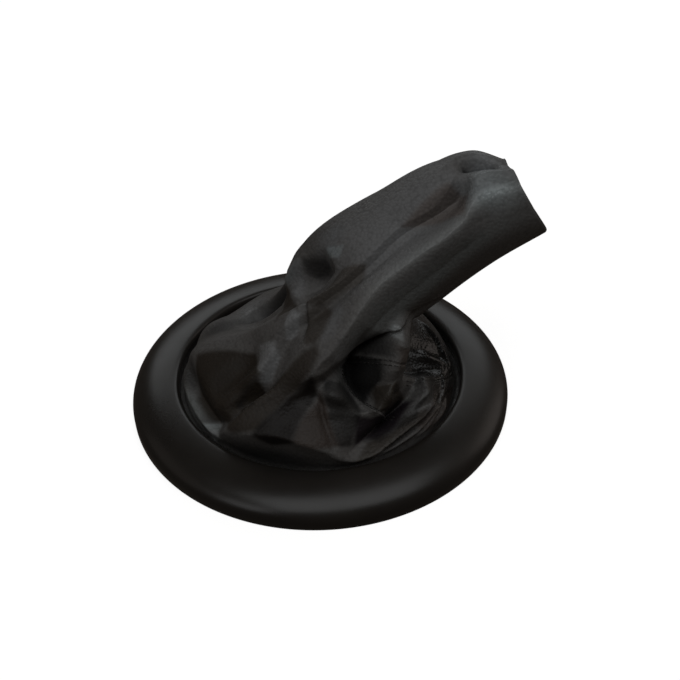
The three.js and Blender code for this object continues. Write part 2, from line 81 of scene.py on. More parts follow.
# Underside of the ring
STIFFENERS = 24
STIFFENER_WALL = 1.2
SNAP_BEADS = 4
SNAP_BEAD_ARC = 24
SNAP_BEAD_DEPTH = 1.0
SNAP_BEAD_HEIGHT = 1.4
SNAP_BEAD_STEPS = 12
PINS = 12
PIN_RADIUS = 1.5
PIN_HEAD_RADIUS = 2.6
PIN_HEAD_FOOT = 0.5
PIN_HEAD_TOP = 1.3
PIN_STEPS = 20
PIN_CIRCLE_RADIUS = (RING_HOLE_RADIUS + SKIRT_WALL + RING_HOLE_RADIUS + CLAMP_WIDTH) / 2

# Leather
LEATHER = 1.2
BOOT_LENGTH = 165.0
BOOT_FOOT_HEIGHT = 7.0
BOOT_RADIUS = RING_HOLE_RADIUS - 2.0
FLANGE_TOP = SKIRT_FOOT - 0.3
FLANGE_RADIUS = RING_HOLE_RADIUS + CLAMP_WIDTH + CLAMP_RIB_WALL
BASE_BEND = 1.0
BASE_BEND_ANGLES = np.radians([270, 247, 225, 202, 180])
SETTLE_LENGTH = 6.0
HEM_DEPTH = 9.0
HEM_LAYERS = 2
LIP_ANGLES = np.radians([30, 60, 90, 120, 150])
NECK_REACH = 74.0
NECK_HEIGHT = 84.0
NECK_TILT = 58.0
NECK_YAW = 6.0
NECK_HALF_DEPTH = 14.5
NECK_HALF_WIDTH = 13.0

# Leather's grid of points, with its columns crowded between two clock angles, on the side that is seen
BOOT_COLUMNS = 322
BOOT_ROWS = 190
BOOT_ROW_CROWDING = 1.1
INSIDE_ROW_STEP = 2
SEEN_FROM, SEEN_TO = 150, 350
SEEN_CROWDING = 1.8
CREST_ROUNDINGS = 3

# The boot's line: share of the length, centre as shares of the neck's reach and rise, sway in mm, tilt
# and yaw as shares of the neck's, and how far the half depth and half width are from the neck's.
BOOT_LINE = np.array([
    [0.00, 0.00, 0.00, 0.0, 0.00, 0.0, 1.00, 1.00],
    [0.11, 0.05, 0.13, -1.5, 0.03, 0.0, 0.82, 0.88],
    [0.25, 0.13, 0.25, -1.0, 0.10, 0.0, 0.49, 0.68],
    [0.37, 0.18, 0.38, 0.0, 0.35, 0.0, 0.24, 0.49],
    [0.54, 0.30, 0.55, 1.0, 0.72, 0.3, 0.11, 0.29],
    [0.70, 0.51, 0.71, 1.0, 0.93, 0.7, 0.09, 0.17],
    [0.87, 0.77, 0.91, 0.0, 1.03, 0.8, 0.09, 0.09],
    [1.00, 1.00, 1.00, -1.0, 1.00, 1.0, 0.00, 0.00],
])

# Ridges and hollows that the leather is drawn between, in the order of their clock angles: rows of
# share, clock angle and height in mm over the smooth boot.
RIDGES = {
    "back": [(0, 90, 0), (1, 90, 0)],
    "back shoulder": [(0, 122, 0), (0.12, 124, 1), (0.3, 126, 1), (0.5, 124, 1), (1, 122, 0)],
    "back lobe": [(0, 148, 0), (0.1, 148, 0), (0.2, 150, -1), (0.3, 154, 1), (0.38, 158, 6),
                  (0.46, 164, 9.5), (0.55, 165, 11), (0.64, 163, 10.5), (0.77, 163, 8.5),
                  (0.86, 162, 6), (0.93, 160, 4), (1, 156, 1)],
    "back valley": [(0, 163, 0), (0.08, 166, 2), (0.18, 170, 2), (0.26, 177, -1),
                    (0.34, 186, -2), (0.4, 193, -3), (0.47, 201, -2), (0.54, 204, 2),
                    (0.6, 202, 5), (0.66, 198, 6), (0.75, 192, 6), (0.86, 180, 5),
                    (0.93, 170, 3), (1, 166, 1)],
    "top ridge": [(0, 175, 0), (0.03, 177, 1), (0.06, 179, 5), (0.13, 181, 7), (0.19, 185, 8),
                  (0.26, 191, 8), (0.35, 204, 8.5), (0.44, 212, 8), (0.525, 216.5, 6),
                  (0.615, 214.5, 5.5), (0.725, 207, 5), (0.83, 206, 4), (0.863, 197, 3.5),
                  (0.89, 184, 2), (0.94, 178, 0.5), (1, 176, 0)],
    "left bulge": [(0, 205, 0), (0.03, 207, 0), (0.06, 212, 1.5), (0.11, 216, 3.5),
                   (0.165, 218, 5), (0.222, 214, 6.5), (0.27, 212, 7), (0.31, 212, 7.5),
                   (0.356, 213, 7.5), (0.44, 217, 6), (0.525, 221, 4), (0.615, 219, 3.5),
                   (0.725, 212, 3), (0.83, 212, 1), (0.863, 206, 0), (0.89, 196, 0),
                   (0.92, 190, 1), (1, 188, 1)],
    "left valley": [(0, 214, 0), (0.03, 217, 0), (0.07, 221, 0), (0.119, 223.5, 1),
                    (0.184, 223.5, 3), (0.259, 221.5, 3.5), (0.312, 220, 4),
                    (0.361, 219.5, 4.5), (0.44, 222.5, 4), (0.525, 226, 3.5), (0.615, 224, 3),
                    (0.725, 220, 3), (0.83, 220, 2), (0.863, 214, 0.5), (0.89, 206, 0.5),
                    (0.92, 200, 2.5), (1, 198, 3)],
    "apron edge": [(0, 224, 0), (0.02, 225, 2), (0.045, 226, 4), (0.092, 228, 6),
                   (0.137, 229, 7), (0.187, 230, 8), (0.269, 230, 9), (0.342, 233, 9.5),
                   (0.407, 235.5, 9.5), (0.484, 235, 8), (0.613, 229, 6), (0.725, 227.5, 5.5),
                   (0.83, 229, 5), (0.863, 222, 3.5), (0.893, 213, 2), (0.93, 208, 2),
                   (1, 207, 2.5)],
    "apron middle": [(0, 250, 0), (0.06, 250, 0), (0.115, 248, 0), (0.16, 246, 0.5),
                     (0.22, 242, 4), (0.265, 238, 7), (0.311, 239, 9.5), (0.4, 241.5, 9.8),
                     (0.484, 241, 9.3), (0.533, 239, 9), (0.613, 234, 8), (0.725, 232, 7),
                     (0.83, 233.5, 6), (0.863, 228, 4.5), (0.893, 218, 3), (0.93, 213, 2),
                     (1, 213, 2)],
    "front ridge": [(0, 279, 0), (0.05, 277, 1), (0.102, 272, 0.5), (0.165, 265, 0),
                    (0.22, 258, 0.5), (0.258, 252, 1.5), (0.285, 245, 7.5),
                    (0.311, 245.5, 9.5), (0.339, 246, 10), (0.384, 248, 10),
                    (0.457, 248, 10.5), (0.533, 245, 10.5), (0.616, 239, 10),
                    (0.725, 237.5, 9), (0.83, 238, 7.2), (0.858, 235, 5.8), (0.88, 227, 4.5),
                    (0.9, 222, 3), (0.94, 219, 2), (1, 219, 1.5)],
    "side": [(0, 300, 0), (0.08, 299, -1), (0.167, 296.5, -2), (0.222, 286, 0),
             (0.267, 275, 1), (0.317, 263.5, 0.8), (0.346, 256, 2.5), (0.38, 257, 4),
             (0.46, 260, 4), (0.55, 261, 3.5), (0.68, 259, 3.5), (0.8, 260, 2.5),
             (0.9, 258, 1.5), (1, 256, 0)],
    "underside": [(0, 324, 0), (0.15, 321, -1), (0.25, 312, 0), (0.35, 300, 0), (0.46, 294, 0),
                  (0.55, 292, 0), (0.7, 293, 0), (1, 292, 0)],
    "right": [(0, 347, 0), (0.2, 344, 0), (0.4, 335, 0), (0.6, 326, 0), (1, 322, 0)],
    "right back": [(0, 375, 0), (1, 366, 0)],
    "back right": [(0, 412, 0), (1, 408, 0)],
}

# Folds that run up the boot: widths of the two flanks in mm, power of the crest (2 is round), and
# rows of share, clock angle and height in mm, where a hollow is negative.
LENGTHWISE_FOLDS = {
    "back cavity": ((3.2, 3.2), 3, [
        (0.39, 183, 0), (0.43, 184, -5), (0.47, 186, -7.5), (0.51, 189, -6), (0.54, 192, 0)]),
    "back notch": ((5, 4.5), 3, [
        (0.175, 157, 0), (0.21, 157, -6), (0.25, 158, -12), (0.285, 160, -14),
        (0.315, 162, -12), (0.345, 165, -5), (0.37, 168, 0)]),
    "waist fold": ((3.5, 3.5), 1.5, [
        (0.28, 182, 0), (0.33, 186, 2), (0.38, 186, 4), (0.43, 180, 3), (0.48, 174, 0)]),
    "left facet": ((2, 5), 1.4, [
        (0.31, 211, 0), (0.35, 213, 2), (0.39, 215, 2.5), (0.43, 217, 1), (0.46, 218, 0)]),
    "corner strip": ((5, 5), 1.4, [
        (0.1, 322, 0), (0.14, 320, 2), (0.18, 320, 4), (0.22, 322, 4), (0.26, 326, 0)]),
    "right pocket": ((6.5, 6), 3.5, [
        (0.225, 286, 0), (0.26, 282, -6), (0.29, 278, -11), (0.33, 272, -14), (0.37, 270, -14),
        (0.41, 269, -9), (0.46, 270, -4), (0.51, 272, 0)]),
    "upper lobe": ((4.6, 5), 3.5, [
        (0.27, 300, 0), (0.31, 299, 5), (0.35, 297, 8), (0.4, 295, 9.5), (0.46, 292, 10),
        (0.52, 289, 9), (0.57, 287, 5), (0.61, 286, 0)]),
    "small lobe": ((4, 4), 2.5, [
        (0.215, 292, 0), (0.24, 291, 4), (0.27, 290, 6), (0.295, 290, 3.5), (0.315, 291, 0)]),
    "right hollow": ((6, 9), 2, [
        (0.12, 350, 0), (0.22, 340, -4), (0.32, 330, -7), (0.42, 320, -7), (0.52, 312, -3),
        (0.6, 306, 0)]),
    "cuff dent": ((3, 8), 2, [
        (0.7, 211, 0), (0.76, 213, -1.5), (0.82, 213, -3), (0.86, 210, -3.8),
        (0.885, 206, -2.5), (0.91, 201, 0)]),
    "hood": ((8, 6), 2, [
        (0.86, 172, 0), (0.9, 168, 1.5), (0.94, 166, 2.5), (0.97, 166, 2), (1, 166, 1)]),
    "hood slit": ((1.3, 1.6), 2, [
        (0.885, 178, 0), (0.905, 178, -3.5), (0.94, 178, -5), (0.965, 179, -3.5),
        (0.985, 180, 0)]),
    "panel crease": ((1.1, 1.1), 2, [
        (0.08, 273, 0), (0.11, 270, -1.2), (0.165, 264, -1.5), (0.22, 257, -1.2),
        (0.27, 252, 0)]),
    "patch crest": ((3, 3.4), 1.6, [
        (0.16, 215, 0), (0.2, 216.5, 2.2), (0.25, 217.5, 3.4), (0.3, 217, 2.8), (0.35, 217, 0)]),
    "patch valley": ((3, 2.6), 2, [
        (0.1, 221.5, 0), (0.14, 221.5, -3), (0.18, 223, -4.5), (0.22, 226, -3.5),
        (0.27, 227, -2), (0.33, 226, 0)]),
    "wall hollow": ((5, 5), 2, [
        (0.08, 208, 0), (0.12, 208, -2.5), (0.18, 208, -3.5), (0.24, 207, -2.5), (0.3, 206, 0)]),
    "lobe panel": ((4, 4), 2, [
        (0.33, 170, 0), (0.37, 171, 2.5), (0.42, 174, 2), (0.46, 176, 0)]),
    "gloss fold": ((2, 2), 1.5, [
        (0.1, 349, 0), (0.16, 349, 1.5), (0.22, 347, 2.2), (0.28, 345, 2.2), (0.34, 343, 0)]),
    "back left swell": ((9, 9), 2, [
        (0, 155, 0), (0.04, 156, 2.5), (0.08, 157, 3), (0.13, 157, 1.5), (0.18, 157, 0)]),
    "grey panel": ((4, 4), 2, [
        (0.2, 263, 0), (0.24, 262, 1.2), (0.275, 261, 2.2), (0.305, 260, 0)]),
}

# Folds that run round the boot: the same, with rows of clock angle, share and height.
CROSSWISE_FOLDS = {
    "front roll": ((5, 14), 1.1, [
        (214, 0.03, 0), (224, 0.055, 0.5), (229, 0.07, 1), (233, 0.085, 2), (241, 0.108, 5.5),
        (250, 0.118, 6.5), (256, 0.114, 6.3), (262.5, 0.106, 5.5), (269, 0.092, 4.3),
        (276, 0.063, 2.5), (284, 0.055, 0)]),
    "front lip": ((2.2, 3), 1.2, [
        (268, 0.085, 0), (275, 0.064, 1.5), (281, 0.048, 2.5), (285, 0.052, 3.2),
        (289, 0.06, 3.6), (295, 0.083, 4), (300, 0.1, 4.5), (306, 0.108, 4.5),
        (312, 0.112, 4.5), (320, 0.122, 3), (332, 0.12, 0)]),
    "lip hollow": ((5, 8), 2, [
        (272, 0.08, 0), (282, 0.09, -3), (291, 0.118, -6), (299, 0.17, -7), (307, 0.2, -6),
        (318, 0.22, -3), (330, 0.22, 0)]),
    "lip foot": ((2.2, 2.2), 2, [
        (288, 0.03, 0), (294, 0.055, -2.5), (301, 0.075, -3), (310, 0.09, -3),
        (320, 0.098, -2), (330, 0.095, 0)]),
    "sleeve underside": ((9, 1.5), 2, [
        (240, 0.262, 0), (245, 0.292, -3), (249, 0.312, -5), (253, 0.35, -7),
        (260.5, 0.41, -9), (270, 0.468, -9), (277.5, 0.53, -7), (283, 0.585, -4),
        (291, 0.635, -3), (300, 0.67, -2), (312, 0.7, 0)]),
    "cuff rim": ((3, 8), 1.3, [
        (180, 0.905, 0), (190, 0.9, 1), (205, 0.9, 1.5), (220, 0.885, 1.5), (234, 0.865, 1),
        (244, 0.85, 0)]),
    "second crest": ((2, 2), 1.4, [
        (290, 0.03, 0), (296, 0.045, 2), (303, 0.06, 3), (311, 0.07, 3), (320, 0.075, 2),
        (330, 0.07, 0)]),
    "seam ridge": ((2.4, 1.6), 1.6, [
        (258, 0.335, 0), (264, 0.322, 0), (270, 0.302, 1.4), (275, 0.283, 2.2),
        (281, 0.254, 2.6), (287, 0.216, 2.4), (294, 0.184, 1.8), (302, 0.147, 0)]),
    "left roll": ((3, 3), 2, [
        (172, 0.02, 0), (182, 0.032, 2.5), (195, 0.034, 3.5), (206, 0.028, 3.5),
        (216, 0.022, 3.5), (222, 0.02, 2.5), (227, 0.015, 0)]),
    "left crease": ((2.5, 4), 2, [
        (176, 0.066, 0), (188, 0.07, -2.5), (200, 0.068, -3), (212, 0.058, -3),
        (220, 0.045, -2), (226, 0.04, 0)]),
    "panel fold": ((1.2, 1.4), 2, [
        (207, 0.445, 0), (211, 0.432, -1.6), (217, 0.412, -2), (223, 0.387, -1.6),
        (229, 0.356, 0)]),
    "gloss fold two": ((2.2, 2.2), 1.5, [
        (345, 0.1, 0), (352, 0.13, 1.6), (360, 0.18, 2), (368, 0.24, 1.6), (376, 0.28, 0)]),
    "ruffle one": ((1.3, 1.3), 1.6, [
        (308, 0.02, 0), (314, 0.035, 1.4), (322, 0.055, 1.6), (330, 0.07, 0)]),
    "ruffle two": ((1.3, 1.3), 1.6, [
        (316, 0, 0), (322, 0.018, 1.4), (329, 0.035, 1.6), (336, 0.05, 0)]),
    "ruffle three": ((1.3, 1.3), 1.6, [
        (326, 0.06, 0), (331, 0.09, 1.5), (336, 0.115, 1.5), (342, 0.14, 0)]),
    "seam one": ((0.8, 0.8), 2, [
        (258, 0.375, 0), (264, 0.383, -0.5), (272, 0.392, -0.5), (280, 0.402, -0.5),
        (288, 0.412, -0.5), (296, 0.4, -0.5), (304, 0.385, 0)]),
    "seam two": ((0.8, 0.8), 2, [
        (312, 0.285, 0), (318, 0.262, -0.5), (326, 0.222, -0.5), (334, 0.165, -0.5),
        (341, 0.11, -0.5), (350, 0.05, 0)]),
}

# Painted light and shade of the leather, as colour factors: painted light on tops and crests, warm painted
# shade in hollows.
PAINTED_WHITE_HIGHLIGHT = (2.5, 2.7, 2.8)
PAINTED_LIGHT = (1.8, 1.9, 2.0)
PAINTED_MID_LIGHT = (1.5, 1.65, 1.7)
PAINTED_SLIGHT_LIGHT = (1.2, 1.25, 1.3)
PAINTED_SLIGHT_SHADE = (0.8, 0.7, 0.65)
PAINTED_BROWN_SHADE = (0.5, 0.45, 0.4)
PAINTED_WARM_SHADE = (0.45, 0.35, 0.3)
PAINTED_GREY_SHADE = (0.3, 0.3, 0.3)
PAINTED_RED_BROWN_SHADE = (0.3, 0.25, 0.2)
PAINTED_DARK_BROWN_SHADE = (0.2, 0.15, 0.1)
PAINTED_PURPLE_SHADE = (0.1, 0.07, 0.1)
PAINTED_DEEP_BROWN_SHADE = (0.07, 0.05, 0.04)
DEEP_SHADOW = (0.05, 0.05, 0.05)

# Spots of painted light and painted shade on the leather: clock angle, share, reach round in degrees,
# reach along as a share, tone and change of roughness.
PAINTED_SPOTS = {
    "lobe panel": (170, 0.39, 7, 0.05, PAINTED_MID_LIGHT, -0.05),
    "notch": (157, 0.27, 11, 0.075, DEEP_SHADOW, 0.25),
    "back left": (146, 0.17, 11, 0.07, PAINTED_SLIGHT_LIGHT, -0.15),
    "gap side": (165, 0.14, 8, 0.05, PAINTED_GREY_SHADE, 0.0),
    "strip edge": (188, 0.06, 9, 0.025, PAINTED_GREY_SHADE, 0.0),
    "left strip": (204, 0.03, 12, 0.025, PAINTED_MID_LIGHT, -0.10),
    "lobe facet": (180, 0.56, 8, 0.05, PAINTED_SLIGHT_LIGHT, -0.10),
    "sleeve top": (208, 0.74, 38, 0.22, PAINTED_LIGHT, -0.04),
    "side face": (262, 0.66, 13, 0.27, PAINTED_MID_LIGHT, 0.0),
    "side end": (254, 0.42, 5, 0.06, PAINTED_LIGHT, 0.0),
    "cuff": (218, 0.95, 30, 0.06, PAINTED_MID_LIGHT, -0.10),
    "hood": (176, 0.955, 14, 0.04, PAINTED_LIGHT, -0.10),
    "front wall": (248, 0.035, 25, 0.045, DEEP_SHADOW, 0.25),
    "right back": (350, 0.19, 32, 0.24, DEEP_SHADOW, -0.34),
}

# Panels of the leather between creases with painted light and painted shade: softness of the edge in mm,
# tone, change of roughness, and corners as clock angle and share.
PAINTED_PANELS = {
    "left wall": (1.2, PAINTED_DARK_BROWN_SHADE, 0.08, [
        (184, 0.11), (205, 0.26), (219, 0.24), (219, 0.17), (223, 0.12), (223, 0.08), (214, 0.04),
        (202, 0.05)]),
    "patch valley": (0.8, PAINTED_DARK_BROWN_SHADE, 0.06, [
        (218, 0.18), (219, 0.22), (223, 0.21), (230, 0.16), (226, 0.12), (219, 0.13)]),
    "patch": (0.8, PAINTED_LIGHT, -0.10, [
        (205, 0.28), (214, 0.32), (221, 0.30), (224, 0.24), (221, 0.22), (213, 0.26)]),
    "tip": (0.7, PAINTED_WHITE_HIGHLIGHT, -0.15, [(214, 0.025), (218, 0.05), (226, 0.03), (222, 0.0)]),
    "light panel": (0.5, PAINTED_LIGHT, -0.08, [
        (218, 0.34), (210, 0.375), (208, 0.40), (215, 0.41), (222, 0.36)]),
    "brown panel": (1.0, PAINTED_BROWN_SHADE, 0.03, [
        (231, 0.365), (215, 0.415), (217, 0.465), (231, 0.475), (237, 0.42), (237, 0.38)]),
    "upper brown band": (1.0, PAINTED_BROWN_SHADE, 0.02, [
        (205, 0.42), (205, 0.55), (217, 0.61), (227, 0.58), (223, 0.48), (217, 0.445)]),
    "notch edge": (0.8, PAINTED_RED_BROWN_SHADE, 0.10, [
        (172, 0.35), (173, 0.375), (187, 0.38), (203, 0.38), (205, 0.35), (190, 0.335)]),
    "notch side": (0.7, PAINTED_SLIGHT_LIGHT, -0.08, [
        (166, 0.42), (173, 0.46), (181, 0.43), (189, 0.395), (185, 0.385), (172, 0.38)]),
    "cavity": (0.9, PAINTED_GREY_SHADE, 0.05, [(173, 0.465), (183, 0.52), (187, 0.51), (182, 0.46), (179, 0.445)]),
    "hood slit": (0.5, DEEP_SHADOW, 0.2, [(176, 0.90), (176, 0.975), (181, 0.975), (181, 0.90)]),
    "light fleck": (0.6, PAINTED_MID_LIGHT, -0.05, [(184, 0.545), (192, 0.585), (197, 0.56), (187, 0.525)]),
    "dent": (0.9, PAINTED_SLIGHT_SHADE, 0.06, [(207, 0.73), (195, 0.86), (213, 0.885), (231, 0.86), (225, 0.80)]),
    "low ridge": (1.2, PAINTED_RED_BROWN_SHADE, 0.04, [
        (222, 0.08), (227, 0.14), (223, 0.20), (231, 0.29), (234, 0.35), (238, 0.385), (243, 0.37),
        (244, 0.32), (239, 0.235), (240, 0.12), (230, 0.075)]),
    "band": (1.2, PAINTED_DEEP_BROWN_SHADE, 0.06, [
        (238, 0.10), (239, 0.23), (245, 0.315), (249, 0.28), (251, 0.175), (254, 0.11), (246, 0.085)]),
    "apron": (1.2, PAINTED_WARM_SHADE, 0.04, [
        (251, 0.165), (251, 0.28), (263, 0.205), (273, 0.11), (261, 0.105), (253, 0.115)]),
    "grey panel": (0.9, PAINTED_GREY_SHADE, 0.04, [
        (249, 0.315), (260, 0.32), (273, 0.285), (278, 0.235), (278, 0.095), (272, 0.11),
        (262, 0.205)]),
    "pocket": (0.6, DEEP_SHADOW, 0.30, [
        (256, 0.36), (266, 0.40), (284, 0.42), (289, 0.335), (284, 0.27), (280, 0.255), (276, 0.30),
        (267, 0.33)]),
    "lobe shade": (1.5, PAINTED_GREY_SHADE, 0.0, [(261, 0.465), (276, 0.54), (286, 0.445), (277, 0.41)]),
    "lobe right": (1.2, PAINTED_SLIGHT_SHADE, -0.05, [(282, 0.505), (300, 0.50), (308, 0.36), (293, 0.375)]),
    "lobe top": (0.7, PAINTED_WHITE_HIGHLIGHT, -0.15, [(274, 0.56), (284, 0.57), (284, 0.53), (277, 0.515)]),
    "small lobe": (0.8, PAINTED_RED_BROWN_SHADE, 0.0, [
        (286, 0.32), (298, 0.31), (312, 0.225), (303, 0.18), (286, 0.23)]),
    "purple hollow": (1.5, PAINTED_PURPLE_SHADE, 0.05, [
        (275, 0.22), (286, 0.20), (309, 0.23), (313, 0.19), (300, 0.12), (291, 0.085), (280, 0.09)]),
    "strip": (0.8, PAINTED_GREY_SHADE, 0.0, [
        (312, 0.175), (330, 0.18), (319, 0.17), (310, 0.12), (299, 0.115), (303, 0.14)]),
    "lip": (0.8, PAINTED_BROWN_SHADE, 0.0, [
        (278, 0.04), (290, 0.055), (300, 0.085), (312, 0.10), (318, 0.13), (306, 0.14), (296, 0.105),
        (286, 0.08)]),
    "neck side of the ridge": (1.5, PAINTED_SLIGHT_LIGHT, 0.0, [
        (228, 0.50), (238, 0.50), (243, 0.44), (240, 0.40), (234, 0.42)]),
    "ruffles": (1.0, PAINTED_SLIGHT_SHADE, -0.05, [
        (331, 0.165), (345, 0.02), (335, 0.0), (318, 0.0), (310, 0.07), (318, 0.125)]),
}

# How steeply the painted light and shade of the spots fades at their edges
PAINTED_SPOT_EDGE_POWER = 1.5

# Painted highlight along a crest: rows of share and clock angle, and its width in mm. It fades in over a
# share of the leather's length.
PAINTED_CREST_HIGHLIGHT = [
    (0.42, 247.5), (0.489, 246.5), (0.60, 240), (0.70, 237.6), (0.78, 238), (0.846, 236), (0.88, 229),
    (0.92, 222), (0.97, 219)]
PAINTED_CREST_HIGHLIGHT_WIDTH = 1.6
PAINTED_CREST_HIGHLIGHT_FADE = 1 / 6
PAINTED_CREST_HIGHLIGHT_TONE = (1.7, 1.75, 1.75)
PAINTED_CREST_HIGHLIGHT_ROUGHER = -0.15

# Seams of the panels: rows of clock angle and share, each sewn with a double row of stitches.
SEAMS = {
    "lobe seam": [(262, 0.376), (268, 0.386), (274, 0.394), (281, 0.403), (288, 0.411), (295, 0.402),
                  (303, 0.385)],
    "corner seam": [(313, 0.282), (318, 0.262), (323, 0.238), (328, 0.21), (333, 0.172), (338, 0.135),
                    (344, 0.09), (349, 0.06)],
    "ridge seam": [(258, 0.348), (264, 0.333), (270, 0.312), (275, 0.293), (281, 0.262), (287, 0.224),
                   (294, 0.19), (301, 0.154)],
}
SEAM_HALF_WIDTH = 0.8
SEAM_STEPS = 200
STITCH_PITCH = 2.1
STITCH_LENGTH = 1.6
THREAD_RADIUS = 0.22
THREAD_LIFT = 0.3 * THREAD_RADIUS
THREAD_SIDES = 6

# A stitch's rings: place along its length and thickness, both as shares
STITCH_PROFILE = [(-0.5, 0.35), (-0.38, 1.0), (0.38, 1.0), (0.5, 0.35)]

# Leather, thread and plastic: colours and the scales of the grain
LEATHER_DARK = (0.088, 0.086, 0.083, 1)
LEATHER_LIGHT = (0.116, 0.113, 0.110, 1)
LEATHER_VALLEY = (0.068, 0.066, 0.064, 1)
THREAD_DARK = (0.010, 0.009, 0.009, 1)
THREAD_LIGHT = (0.022, 0.020, 0.019, 1)
GRAIN_WANDER = 0.6
GRAIN_WANDER_SCALE = 420.0
PEBBLE_SCALE = 1000.0
FINE_GRAIN_SCALE = 2400.0
PORE_SCALE = 2600.0
PATCH_SCALE = 38.0
EROSION_SCALE = 3800.0

# Softboxes: place, point that they face, width and height in metres, radiance and colour
SOFTBOXES = {
    "overhead_softbox": ((0.1, -0.35, 1.1), (0, 0, 0), (1.3, 0.75), 1.12, (0.97, 0.99, 1.0)),
    "back_softbox": ((0.0, 1.0, 0.60), (0, 0, 0.03), (1.5, 0.42), 1.0, (0.94, 0.98, 1.0)),
    "left_softbox": ((-0.75, -0.75, 0.75), (0, 0, 0.05), (0.5, 0.5), 1.0, (0.98, 0.98, 1.0)),
    "right_fill": ((1.0, 0.35, 0.45), (0, 0, 0.03), (0.6, 0.6), 0.60, (1.0, 0.90, 0.84)),
    "left_fill": ((-1.1, 0.0, 0.55), (0, 0, 0.03), (0.9, 0.6), 0.12, (1.0, 0.88, 0.80)),
}
FLOOR_HALF = 6.0
FLOOR_LEVEL = 0.5
FLOOR_GLOW = 0.86
SURROUND_COLOUR = (1.0, 0.84, 0.72, 1)
SURROUND_STRENGTH = 0.05

# Camera, at the photograph's viewing angle
LENS_MM = 47.65
SENSOR_MM = 36.0
CAMERA_DISTANCE = 0.3674
CAMERA_ELEVATION = math.radians(41.62)
CAMERA_PAN = math.radians(-1.349)
CAMERA_TILT = math.radians(2.819)
CAMERA_ROLL = math.radians(-2.42)
CAMERA_NEAR = 0.01


def link(piece):
    bpy.context.scene.collection.objects.link(piece)
    return piece


def mesh_piece(name, points_mm, faces):
    """A smooth-shaded mesh object from points in millimetres."""
    mesh = bpy.data.meshes.new(name)
    mesh.from_pydata((np.asarray(points_mm) * MM).tolist(), [], faces)
    mesh.shade_smooth()
    mesh.update()
    return link(bpy.data.objects.new(name, mesh))


def join_shapes(name, shapes):
    """One mesh object from several sets of points and faces."""
    points, faces, count = [], [], 0
    for corners, sides in shapes:
        points.append(corners)
        faces += [tuple(count + k for k in side) for side in sides]
        count += len(corners)
    return mesh_piece(name, np.concatenate(points), faces)


def full_turn(steps):
    return np.linspace(0, 2 * math.pi, steps, endpoint=False)


def level_ring(radius, height, turn, middle=(0, 0)):
    """Points of a level circle at the given turns."""
    x = middle[0] + radius * np.cos(turn)
    y = middle[1] + radius * np.sin(turn)
    return np.stack([x, y, np.full_like(x, height)], -1)


def capped_tube(rings):
    """Points and faces of a tube through rings of points, closed at both ends."""
    sides = len(rings[0])
    faces = [tuple(range(sides))[::-1]]
    for ring in range(len(rings) - 1):
        here = ring * sides
        above = here + sides
        for k in range(sides):
            n = (k + 1) % sides
            faces.append((here + k, here + n, above + n, above + k))
    last = (len(rings) - 1) * sides
    faces.append(tuple(range(last, last + sides)))
    return np.concatenate(rings), faces


def loop_faces(rows, columns):
    """Quads of a closed tube: rows of points that wrap both ways."""
    faces = []
    for row in range(rows):
        above = (row + 1) % rows * columns
        here = row * columns
        for i in range(columns):
            j = (i + 1) % columns
            faces.append((here + i, here + j, above + j, above + i))
    return faces


def curve_through(rows, column, x):
    """A smooth curve through the rows' (first value, column value) pairs, level beyond the ends."""
    rows = np.asarray(rows, float)
    at, value = rows[:, 0], rows[:, column]
    x = np.clip(x, at[0], at[-1])
    rise = np.diff(value) / np.diff(at)
    slope = np.concatenate([rise[:1], np.zeros(len(at) - 2), rise[-1:]])
    span = np.diff(at)
    slope[1:-1] = (rise[:-1] * span[1:] + rise[1:] * span[:-1]) / (span[1:] + span[:-1])
    i = np.clip(np.searchsorted(at, x, side="right") - 1, 0, len(at) - 2)
    t = (x - at[i]) / span[i]
    t2, t3 = t * t, t * t * t
    return (
        (2 * t3 - 3 * t2 + 1) * value[i] + (t3 - 2 * t2 + t) * span[i] * slope[i]
        + (3 * t2 - 2 * t3) * value[i + 1] + (t3 - t2) * span[i] * slope[i + 1]
    )


def mix(start, end, share):
    return start + (end - start) * share


def ease(share):
    """A share from 0 to 1, with a soft start and end."""
    return share * share * (3 - 2 * share)


def turned_from(clock, middle):
    """The angle from a middle clock angle, from -180 to 180 degrees."""
    return (clock - middle + 180) % 360 - 180


def half_sizes(along):
    depth = mix(NECK_HALF_DEPTH, BOOT_RADIUS, curve_through(BOOT_LINE, 6, along))
    width = mix(NECK_HALF_WIDTH, BOOT_RADIUS, curve_through(BOOT_LINE, 7, along))
    return depth, width


def mean_radius(along):
    return sum(half_sizes(along)) / 2


def smooth_boot(clock, along):
    """The boot before its folds, in mm."""
    reach, rise, sway, tilt, yaw = (curve_through(BOOT_LINE, k, along) for k in range(1, 6))
    tilt = np.radians(NECK_TILT) * tilt
    yaw = np.radians(NECK_YAW) * yaw
    depth, width = half_sizes(along)
    centre = np.stack([NECK_REACH * reach, sway, mix(BOOT_FOOT_HEIGHT, NECK_HEIGHT, rise)], -1)
    axis = np.stack([np.sin(tilt) * np.cos(yaw), np.sin(tilt) * np.sin(yaw), np.cos(tilt)], -1)
    across = np.stack([np.cos(tilt) * np.cos(yaw), np.cos(tilt) * np.sin(yaw), -np.sin(tilt)], -1)
    sideways = np.cross(axis, across)
    turn = np.radians(clock)
    out = (depth * np.cos(turn))[..., None] * across
    aside = (width * np.sin(turn))[..., None] * sideways
    return centre + out + aside


def grid_normals(points):
    """Outward normals of a grid of points whose rows are closed rings going up."""
    onward = np.roll(points, -1, 1) - np.roll(points, 1, 1)
    up = np.gradient(points, axis=0)
    normal = np.cross(onward, up)
    return normal / np.linalg.norm(normal, axis=-1, keepdims=True)


def fold_shape(distance, widths, power):
    width = np.where(distance < 0, widths[0], widths[1])
    return np.exp(-np.abs(distance / width) ** power)


